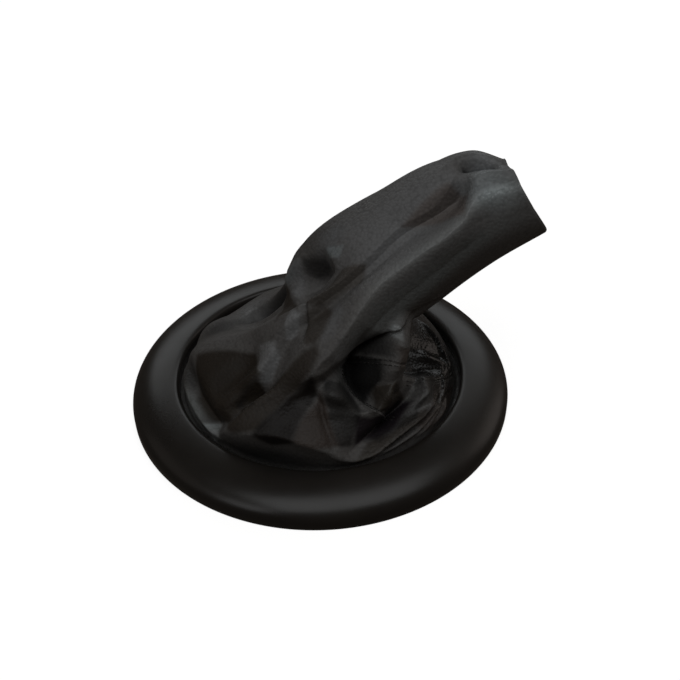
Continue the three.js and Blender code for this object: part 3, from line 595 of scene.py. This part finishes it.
def ridge_grid():
    """Clock angles, shares and ridge heights of the leather's grid, whose columns follow the ridges."""
    share = np.linspace(0, 1, BOOT_ROWS) ** BOOT_ROW_CROWDING
    tables = list(RIDGES.values())
    clocks = np.stack([curve_through(rows, 1, share) for rows in tables], 1)
    clocks = np.degrees(np.unwrap(np.radians(clocks), axis=1))
    heights = np.stack([curve_through(rows, 2, share) for rows in tables], 1)
    clocks = np.concatenate([clocks, clocks[:, :1] + 360], 1)
    heights = np.concatenate([heights, heights[:, :1]], 1)
    width = np.radians(np.diff(clocks, axis=1)) * mean_radius(share)[:, None]
    need = width.mean(0)
    seen = (clocks[:, :-1].mean(0) > SEEN_FROM) & (clocks[:, 1:].mean(0) < SEEN_TO)
    need *= np.where(seen, SEEN_CROWDING, 1)
    counts = np.round(need / need.sum() * BOOT_COLUMNS).astype(int)
    gap = np.repeat(np.arange(len(counts)), counts)
    across = np.concatenate([np.arange(n) / n for n in counts])
    clock = mix(clocks[:, gap], clocks[:, gap + 1], across)
    height = mix(heights[:, gap], heights[:, gap + 1], across)
    for _ in range(CREST_ROUNDINGS):
        height = (np.roll(height, 1, 1) + 2 * height + np.roll(height, -1, 1)) / 4
    return clock % 360, np.repeat(share[:, None], len(gap), 1), height


def fold_heights(clock, along):
    """How far the folds push each point out along the smooth boot's normal, in mm."""
    radius = mean_radius(along)
    height = np.zeros_like(clock)
    for widths, power, rows in LENGTHWISE_FOLDS.values():
        offset = np.radians(turned_from(clock, curve_through(rows, 1, along))) * radius
        height += curve_through(rows, 2, along) * fold_shape(offset, widths, power)
    for widths, power, rows in CROSSWISE_FOLDS.values():
        turn = rows[0][0] + (clock - rows[0][0]) % 360
        offset = (along - curve_through(rows, 1, turn)) * BOOT_LENGTH
        height += curve_through(rows, 2, turn) * fold_shape(offset, widths, power)
    return height


def folded_boot(clock, along, ridges):
    """The leather's outside, settled to the flange's circle at its foot."""
    smooth = smooth_boot(clock, along)
    settled = np.clip(along * BOOT_LENGTH / SETTLE_LENGTH, 0, 1)
    push = (ridges + fold_heights(clock, along)) * ease(settled)
    return smooth + grid_normals(smooth) * push[..., None]


def panel_weight(clock, along, softness, corners):
    """1 inside a panel's corners and 0 outside, on the leather laid out in mm, with a soft edge."""
    first = corners[0][0]

    def laid_out(clock, along):
        across = np.radians(turned_from(clock, first)) * mean_radius(along)
        return np.stack([across, along * BOOT_LENGTH], -1)

    points = laid_out(clock, along)
    outline = laid_out(*np.array(corners, float).T)
    inside = np.zeros(clock.shape, bool)
    nearest = np.full(clock.shape, np.inf)
    for start, end in zip(outline, np.roll(outline, -1, 0)):
        side = end - start
        share = np.clip((points - start) @ side / (side @ side), 0, 1)
        distance = np.linalg.norm(points - start - share[..., None] * side, axis=-1)
        nearest = np.minimum(nearest, distance)
        if side[1] != 0:
            crossing = start[0] + (points[..., 1] - start[1]) / side[1] * side[0]
            level = (points[..., 1] > start[1]) != (points[..., 1] > end[1])
            inside ^= level & (points[..., 0] < crossing)
    return ease(np.clip(0.5 + np.where(inside, nearest, -nearest) / (2 * softness), 0, 1))


def leather_painted_light(clock, along):
    """Colour factors of painted light and shade, and change of roughness, at each point of the leather."""
    places = []
    for middle, share, reach_round, reach_along, tone, rougher in PAINTED_SPOTS.values():
        offset = turned_from(clock, middle) / reach_round
        weight = np.exp(-(offset ** 2 + ((along - share) / reach_along) ** 2) ** PAINTED_SPOT_EDGE_POWER)
        places.append((weight, tone, rougher))
    for softness, tone, rougher, corners in PAINTED_PANELS.values():
        places.append((panel_weight(clock, along, softness, corners), tone, rougher))
    # painted highlight along the crest
    offset = np.radians(turned_from(clock, curve_through(PAINTED_CREST_HIGHLIGHT, 1, along))) * mean_radius(along)
    fade_in = np.clip((along - PAINTED_CREST_HIGHLIGHT[0][0]) / PAINTED_CREST_HIGHLIGHT_FADE, 0, 1)
    crest_highlight = np.exp(-(offset / PAINTED_CREST_HIGHLIGHT_WIDTH) ** 2) * fade_in
    places.append((crest_highlight, PAINTED_CREST_HIGHLIGHT_TONE, PAINTED_CREST_HIGHLIGHT_ROUGHER))
    painted_light_and_shade = np.ones(clock.shape + (4,))
    painted_light_and_shade[..., 3] = 0
    for weight, tone, rougher in places:
        painted_light_and_shade[..., :3] *= 1 + weight[..., None] * (np.array(tone) - 1)
        painted_light_and_shade[..., 3] += weight * rougher
    return painted_light_and_shade


def point_layer(piece, name, kind, field, values):
    """Values at the piece's points, for its material to read."""
    layer = piece.data.attributes.new(name, kind, "POINT")
    layer.data.foreach_set(field, values.ravel())


def on_leather(grid, clock, along, places):
    """Values of the leather's grid at rows of clock angle and share."""
    values = []
    for turn, share in places:
        row = np.interp(share, along[:, 0], np.arange(len(along)))
        low = min(int(row), len(along) - 2)
        pair = []
        for r in (low, low + 1):
            columns = (clock[r] - clock[r, 0]) % 360
            column = np.interp((turn - clock[r, 0]) % 360, columns, np.arange(len(columns)))
            left = int(column)
            right = (left + 1) % len(columns)
            pair.append(mix(grid[r, left], grid[r, right], column - left))
        values.append(mix(pair[0], pair[1], row - low))
    return np.array(values)


def run_along(line):
    """How far along a line each of its points is."""
    steps = np.linalg.norm(np.diff(line, axis=0), axis=1)
    return np.concatenate([[0], np.cumsum(steps)])


def stitch(centre, ahead, aside, up):
    """Points and faces of one short bead of thread."""
    turn = full_turn(THREAD_SIDES)[:, None]
    rim = aside * np.cos(turn) + up * np.sin(turn)
    return capped_tube([centre + ahead * shift * STITCH_LENGTH + THREAD_RADIUS * swell * rim
                        for shift, swell in STITCH_PROFILE])


def stitches(outside, normals, clock, along):
    """Double rows of stitches along the seams, laid on the leather."""
    beads = []
    for rows in SEAMS.values():
        fine = np.linspace(rows[0][0], rows[-1][0], SEAM_STEPS)
        places = np.stack([fine, curve_through(rows, 1, fine)], 1)
        line = on_leather(outside, clock, along, places)
        up = on_leather(normals, clock, along, places)
        ahead = np.gradient(line, axis=0)
        ahead /= np.linalg.norm(ahead, axis=1, keepdims=True)
        aside = np.cross(up, ahead)
        run = run_along(line)
        for row_side in (-SEAM_HALF_WIDTH, SEAM_HALF_WIDTH):
            for middle in np.arange(STITCH_PITCH / 2, run[-1], STITCH_PITCH):
                i = int(np.searchsorted(run, middle).clip(1, len(run) - 1))
                centre = line[i] + aside[i] * row_side + up[i] * THREAD_LIFT
                beads.append(stitch(centre, ahead[i], aside[i], up[i]))
    return join_shapes("gaiter_stitches", beads)


def leather_gaiter():
    """The sewn boot as one closed skin: flange, outside, turned-in hem and inside."""
    clock, along, ridges = ridge_grid()
    outside = folded_boot(clock, along, ridges)
    normals = grid_normals(outside)
    ahead = np.array([math.sin(math.radians(NECK_TILT)), 0, math.cos(math.radians(NECK_TILT))])
    turn = np.radians(clock[0])

    def bend(radius):
        return [level_ring(BOOT_RADIUS + BASE_BEND + radius * math.cos(a),
                           FLANGE_TOP + BASE_BEND + radius * math.sin(a), turn)
                for a in BASE_BEND_ANGLES]

    hem_rows = int(np.sum(along[:, 0] * BOOT_LENGTH > BOOT_LENGTH - HEM_DEPTH))
    inside = outside - normals * LEATHER
    inside[-hem_rows:] = outside[-hem_rows:] - normals[-hem_rows:] * HEM_LAYERS * LEATHER
    lip = [outside[-1] - normals[-1] * LEATHER * (1 - math.cos(a)) + ahead * LEATHER * math.sin(a)
           for a in LIP_ANGLES]
    flange_edge = [level_ring(FLANGE_RADIUS, height, turn) for height in (FLANGE_TOP - LEATHER, FLANGE_TOP)]
    rings = [
        *flange_edge,
        *bend(BASE_BEND),
        *outside,
        *lip,
        *inside[::-INSIDE_ROW_STEP],
        *bend(BASE_BEND + LEATHER)[::-1],
    ]
    gaiter = mesh_piece("gaiter_leather", np.concatenate(rings), loop_faces(len(rings), len(turn)))
    # painted light and painted shade of the leather, with its change of roughness, for every ring of the
    # skin
    painted_light_and_shade = leather_painted_light(clock, along)
    bend_painted_light = np.repeat(painted_light_and_shade[:1], len(BASE_BEND_ANGLES), 0)
    edge_painted_light = np.repeat(painted_light_and_shade[:1], len(flange_edge), 0)
    lip_painted_light = np.repeat(painted_light_and_shade[-1:], len(lip), 0)
    inside_painted_light = painted_light_and_shade[::-INSIDE_ROW_STEP]
    painted_light_and_shade = np.concatenate([edge_painted_light, bend_painted_light, painted_light_and_shade, lip_painted_light, inside_painted_light, bend_painted_light]).reshape(-1, 4)
    point_layer(gaiter, "painted_light_and_shade", "FLOAT_COLOR", "color", painted_light_and_shade)
    point_layer(gaiter, "roughening", "FLOAT", "value", painted_light_and_shade[:, 3])
    return gaiter, stitches(outside, normals, clock, along)


def bezier(start, first, second, end, steps):
    """Points of a cubic curve from its two ends and two handles."""
    t = np.linspace(0, 1, steps + 1)[:, None]
    start, first, second, end = (np.asarray(p, float) for p in (start, first, second, end))
    near = (1 - t) ** 3 * start + 3 * (1 - t) ** 2 * t * first
    return near + 3 * (1 - t) * t * t * second + t ** 3 * end


def dome(offset, steps):
    """The ring's domed top from its crest to its edge, or its underside at a wall's offset."""
    width = RING_OUTER_RADIUS - CREST_RADIUS
    drop = RING_HEIGHT - EDGE_WALL_HEIGHT
    outer = RING_OUTER_RADIUS - offset
    return bezier(
        (CREST_RADIUS, RING_HEIGHT - offset),
        (CREST_RADIUS + DOME_SHOULDER_OUT * width, RING_HEIGHT - DOME_SHOULDER_DOWN * drop - offset),
        (outer, EDGE_WALL_HEIGHT + DOME_SIDE_UP * drop - offset / 2),
        (outer, EDGE_WALL_HEIGHT),
        steps,
    )


def lathe(section):
    """Points and faces of a closed section of (radius, height) turned about the ring's axis."""
    turn = full_turn(RING_STEPS)
    rings = [level_ring(radius, height, turn) for radius, height in section]
    return np.concatenate(rings), loop_faces(len(rings), RING_STEPS)


def sector(radii, heights, clocks, steps):
    """Points and faces of a block between two radii, two heights and two clock angles."""
    (inner, outer), (foot, top) = radii, heights
    section = ((inner, top), (outer, top), (outer, foot), (inner, foot))
    return capped_tube([
        np.array([(r * math.cos(clock), r * math.sin(clock), z) for r, z in section])
        for clock in np.radians(np.linspace(*clocks, steps + 1))
    ])


def disc_post(radius, foot, top, clock):
    """Points and faces of an upright round post on the pins' circle."""
    middle = (PIN_CIRCLE_RADIUS * math.cos(clock), PIN_CIRCLE_RADIUS * math.sin(clock))
    return capped_tube([level_ring(radius, height, full_turn(PIN_STEPS), middle) for height in (foot, top)])


def ring_section():
    """The ring's closed section: skirt, nose, dome, foot and the underside that follows them."""
    skirt_radius = RING_HOLE_RADIUS + SKIRT_WALL
    return np.concatenate([
        [(RING_HOLE_RADIUS, SKIRT_FOOT)],
        bezier(
            (RING_HOLE_RADIUS, RING_HEIGHT - NOSE_WIDTH),
            (RING_HOLE_RADIUS, RING_HEIGHT - NOSE_WIDTH / 3),
            (CREST_RADIUS - NOSE_WIDTH * 2 / 3, RING_HEIGHT),
            (CREST_RADIUS, RING_HEIGHT),
            NOSE_STEPS,
        ),
        dome(0, DOME_STEPS)[1:],
        [(RING_OUTER_RADIUS, FOOT_ROUNDING)],
        [(RING_OUTER_RADIUS - FOOT_ROUNDING_MIDDLE, FOOT_ROUNDING_MIDDLE)],
        [(RING_OUTER_RADIUS - FOOT_ROUNDING, 0)],
        [(RING_OUTER_RADIUS - RING_WALL, 0)],
        dome(RING_WALL, DOME_UNDERSIDE_STEPS)[::-1],
        [(skirt_radius, RING_HEIGHT - RING_WALL)],
        [(skirt_radius, SKIRT_FOOT)],
    ])[::-1]


def underside_shapes():
    """Points and faces of the clamp rib, stiffeners, snap beads and pins below the dome."""
    under_dome = RING_HEIGHT - 1.5 * RING_WALL
    rib_inner = RING_HOLE_RADIUS + CLAMP_WIDTH
    rib_outer = rib_inner + CLAMP_RIB_WALL
    wall_middle = RING_OUTER_RADIUS - RING_WALL / 2
    bead_inner = RING_OUTER_RADIUS - RING_WALL - SNAP_BEAD_DEPTH
    stiffener_heights = (EDGE_WALL_HEIGHT / 2, EDGE_WALL_HEIGHT + RING_WALL / 2)
    stiffener_arc = math.degrees(STIFFENER_WALL / RING_OUTER_RADIUS)
    shapes = [lathe([(rib_inner, under_dome), (rib_outer, under_dome), (rib_outer, SKIRT_FOOT),
                     (rib_inner, SKIRT_FOOT)])]

    def around(count, arc):
        return [(360 * i / count - arc / 2, 360 * i / count + arc / 2) for i in range(count)]

    for clocks in around(STIFFENERS, stiffener_arc):
        shapes.append(sector((rib_outer, wall_middle), stiffener_heights, clocks, 1))
    for clocks in around(SNAP_BEADS, SNAP_BEAD_ARC):
        shapes.append(sector((bead_inner, wall_middle), (0, SNAP_BEAD_HEIGHT), clocks, SNAP_BEAD_STEPS))
    for clock in full_turn(PINS):
        shapes.append(disc_post(PIN_RADIUS, PIN_HEAD_FOOT, under_dome, clock))
        shapes.append(disc_post(PIN_HEAD_RADIUS, PIN_HEAD_FOOT, PIN_HEAD_TOP, clock))
    return shapes


def trim_ring():
    """The moulded ring: a fine lathe of its section, with the ribs, pins and beads of its underside."""
    ring = join_shapes("ring_moulding", [lathe(ring_section()), *underside_shapes()])
    ring.data.set_sharp_from_angle(angle=RING_SHARP_ANGLE)
    return ring


class Shader:
    """A material's node tree, with short calls for the nodes that the materials share."""

    def __init__(self, name):
        self.material = bpy.data.materials.new(name)
        self.material.use_nodes = True
        self.nodes = self.material.node_tree.nodes
        self.links = self.material.node_tree.links
        self.surface = self.nodes["Principled BSDF"]
        self.place = self.add("ShaderNodeTexCoord").outputs["Object"]

    def add(self, kind, settings=None, **inputs):
        node = self.nodes.new(kind)
        for key, value in (settings or {}).items():
            setattr(node, key, value)
        for key, value in inputs.items():
            self.feed(node.inputs[key.replace("_", " ")], value)
        return node

    def feed(self, socket, value):
        if isinstance(value, bpy.types.NodeSocket):
            self.links.new(value, socket)
        else:
            socket.default_value = value

    def noise(self, scale, detail=3.0, roughness=0.5):
        return self.add("ShaderNodeTexNoise", Vector=self.place, Scale=scale, Detail=detail,
                        Roughness=roughness).outputs["Fac"]

    def ramp(self, value, low, high, to_low=0, to_high=1):
        return self.add("ShaderNodeMapRange", Value=value, From_Min=low, From_Max=high, To_Min=to_low,
                        To_Max=to_high).outputs["Result"]

    def blend(self, share, first, second, how="MIX"):
        node = self.add("ShaderNodeMix", {"data_type": "RGBA", "blend_type": how})
        self.feed(node.inputs["Factor"], share)
        self.feed(node.inputs["A"], first)
        self.feed(node.inputs["B"], second)
        return node.outputs["Result"]

    def bump(self, height, strength, distance, under=None):
        node = self.add("ShaderNodeBump", Height=height, Strength=strength, Distance=distance)
        if under is not None:
            self.links.new(under, node.inputs["Normal"])
        return node.outputs["Normal"]

    def set(self, **inputs):
        for key, value in inputs.items():
            self.feed(self.surface.inputs[key.replace("_", " ")], value)


def grey(level, warmth=0.0):
    return (level * (1 + warmth), level, level * (1 - warmth), 1)


def leather_material():
    """Pebbled black leather with a soft sheen, toned by painted light and painted shade."""
    shader = Shader("grained_leather")
    wander = shader.add("ShaderNodeVectorMath", {"operation": "SCALE"})
    wobble = shader.add("ShaderNodeTexNoise", Vector=shader.place, Scale=GRAIN_WANDER_SCALE)
    shader.feed(wander.inputs[0], wobble.outputs["Color"])
    wander.inputs["Scale"].default_value = GRAIN_WANDER * MM
    warped = shader.add("ShaderNodeVectorMath", {"operation": "ADD"})
    shader.feed(warped.inputs[0], shader.place)
    shader.feed(warped.inputs[1], wander.outputs[0])
    grain = warped.outputs[0]
    pebbles = shader.add("ShaderNodeTexVoronoi", {"feature": "SMOOTH_F1"}, Vector=grain, Scale=PEBBLE_SCALE)
    fine = shader.add("ShaderNodeTexVoronoi", {"feature": "F1"}, Vector=grain, Scale=FINE_GRAIN_SCALE)
    patches = shader.noise(PATCH_SCALE, 4.0, 0.55)
    pores = shader.noise(PORE_SCALE, 2.0)
    colour = shader.blend(shader.ramp(patches, 0.35, 0.7), LEATHER_DARK, LEATHER_LIGHT)
    valley = shader.ramp(pebbles.outputs["Distance"], 0.35, 0.9)
    colour = shader.blend(valley, colour, LEATHER_VALLEY)
    # painted light and painted shade, multiplied into the leather's colour
    painted_tone = shader.add("ShaderNodeAttribute", {"attribute_name": "painted_light_and_shade"})
    colour = shader.blend(1.0, colour, painted_tone.outputs["Color"], "MULTIPLY")
    relief = shader.bump(pebbles.outputs["Distance"], 0.70, -0.26 * MM)
    relief = shader.bump(fine.outputs["Distance"], 0.35, -0.07 * MM, relief)
    relief = shader.bump(pores, 0.25, 0.05 * MM, relief)
    relief = shader.bump(patches, 0.4, 0.9 * MM, relief)
    rougher = shader.add("ShaderNodeAttribute", {"attribute_name": "roughening"})
    gloss = shader.add("ShaderNodeMath", {"operation": "ADD", "use_clamp": True})
    shader.feed(gloss.inputs[0], shader.ramp(shader.noise(90.0, 3.0), 0.3, 0.7, 0.48, 0.60))
    shader.feed(gloss.inputs[1], rougher.outputs["Fac"])
    shader.set(Base_Color=colour, Roughness=gloss.outputs["Value"], Normal=relief)
    shader.set(Specular_IOR_Level=0.4)
    return shader.material


def thread_material():
    """Twisted polyester thread."""
    shader = Shader("sewing_thread")
    twist = shader.add("ShaderNodeTexWave", Vector=shader.place, Scale=900.0, Distortion=1.5)
    fuzz = shader.noise(1500.0, 3.0)
    colour = shader.blend(shader.ramp(fuzz, 0.3, 0.7), THREAD_DARK, THREAD_LIGHT)
    relief = shader.bump(twist.outputs["Fac"], 0.4, 0.06 * MM)
    shader.set(Base_Color=colour, Roughness=shader.ramp(fuzz, 0.3, 0.7, 0.55, 0.75), Normal=relief)
    return shader.material


def plastic_material(name, level, low, high):
    """Moulded plastic with a fine spark-eroded texture and uneven polish."""
    shader = Shader(name)
    clouds = shader.noise(22.0, 4.0, 0.6)
    erosion = shader.noise(EROSION_SCALE, 2.0)
    specks = shader.noise(700.0, 3.0)
    colour = shader.blend(shader.ramp(clouds, 0.35, 0.65), grey(level, 0.12), grey(level * 1.3, 0.15))
    relief = shader.bump(erosion, 0.10, 0.05 * MM)
    relief = shader.bump(specks, 0.05, 0.08 * MM, relief)
    shader.set(Base_Color=colour, Roughness=shader.ramp(clouds, 0.3, 0.7, low, high), Normal=relief)
    return shader.material


def dress(piece, material):
    piece.data.materials.clear()
    piece.data.materials.append(material)


def area_light(name, place, target, size, radiance, colour):
    """A softbox whose face has the given radiance."""
    light = bpy.data.lights.new(name, "AREA")
    light.shape = "RECTANGLE"
    light.size, light.size_y = size
    light.energy = math.pi * size[0] * size[1] * radiance
    light.color = colour
    lamp = link(bpy.data.objects.new(name, light))
    lamp.location = place
    lamp.rotation_euler = (Vector(target) - Vector(place)).to_track_quat("-Z", "Y").to_euler()


def studio():
    """Pale floor and soft light from overhead and behind. The floor doesn't show in the reflections."""
    half = FLOOR_HALF / MM
    corners = [(-half, -half, 0), (half, -half, 0), (half, half, 0), (-half, half, 0)]
    floor = mesh_piece("studio_floor", corners, [(0, 1, 2, 3)])
    shader = Shader("pale_floor")
    shader.set(Base_Color=grey(FLOOR_LEVEL), Roughness=0.9)
    shader.set(Emission_Color=grey(1.0), Emission_Strength=FLOOR_GLOW)
    dress(floor, shader.material)
    floor.visible_glossy = False
    floor.visible_diffuse = False
    world = bpy.data.worlds.new("surround")
    world.use_nodes = True
    nodes, links = world.node_tree.nodes, world.node_tree.links
    room = nodes["Background"]
    room.inputs["Color"].default_value = SURROUND_COLOUR
    room.inputs["Strength"].default_value = SURROUND_STRENGTH
    backdrop = nodes.new("ShaderNodeBackground")
    backdrop.inputs["Color"].default_value = (1, 1, 1, 1)
    seen = nodes.new("ShaderNodeLightPath")
    either = nodes.new("ShaderNodeMixShader")
    links.new(seen.outputs["Is Camera Ray"], either.inputs["Fac"])
    links.new(room.outputs["Background"], either.inputs[1])
    links.new(backdrop.outputs["Background"], either.inputs[2])
    links.new(either.outputs["Shader"], nodes["World Output"].inputs["Surface"])
    bpy.context.scene.world = world
    for name, settings in SOFTBOXES.items():
        area_light(name, *settings)


def camera():
    """The camera turns from the ring's centre by a small pan, tilt and roll."""
    data = bpy.data.cameras.new("photo_camera")
    data.lens = LENS_MM
    data.sensor_width = SENSOR_MM
    data.clip_start = CAMERA_NEAR
    place = CAMERA_DISTANCE * Vector((0, -math.cos(CAMERA_ELEVATION), math.sin(CAMERA_ELEVATION)))
    ahead = -place.normalized()
    right = ahead.cross(Vector((0, 0, 1))).normalized()
    up = right.cross(ahead)
    for turn, about in ((CAMERA_PAN, up), (CAMERA_TILT, right)):
        turned = Matrix.Rotation(turn, 3, about)
        ahead, right, up = turned @ ahead, turned @ right, turned @ up
    turned = Matrix.Rotation(-CAMERA_ROLL, 3, ahead)
    right, up = turned @ right, turned @ up
    eye = link(bpy.data.objects.new("photo_camera", data))
    eye.matrix_world = Matrix((
        (right.x, up.x, -ahead.x, place.x),
        (right.y, up.y, -ahead.y, place.y),
        (right.z, up.z, -ahead.z, place.z),
        (0, 0, 0, 1),
    ))
    bpy.context.scene.camera = eye


camera()
studio()

leather = leather_material()
satin_plastic = plastic_material("satin_plastic", 0.013, 0.26, 0.36)
plain_plastic = plastic_material("plain_plastic", 0.010, 0.45, 0.60)

ring = trim_ring()
dress(ring, satin_plastic)
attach(ring, "root")
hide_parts("trim_ring")

gaiter, thread = leather_gaiter()
dress(gaiter, leather)
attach(gaiter, "root")
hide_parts("leather_gaiter")
dress(thread, thread_material())
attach(thread, "root")

dress(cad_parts["retaining_ring"], plain_plastic)

bpy.context.scene.view_settings.view_transform = "Standard"
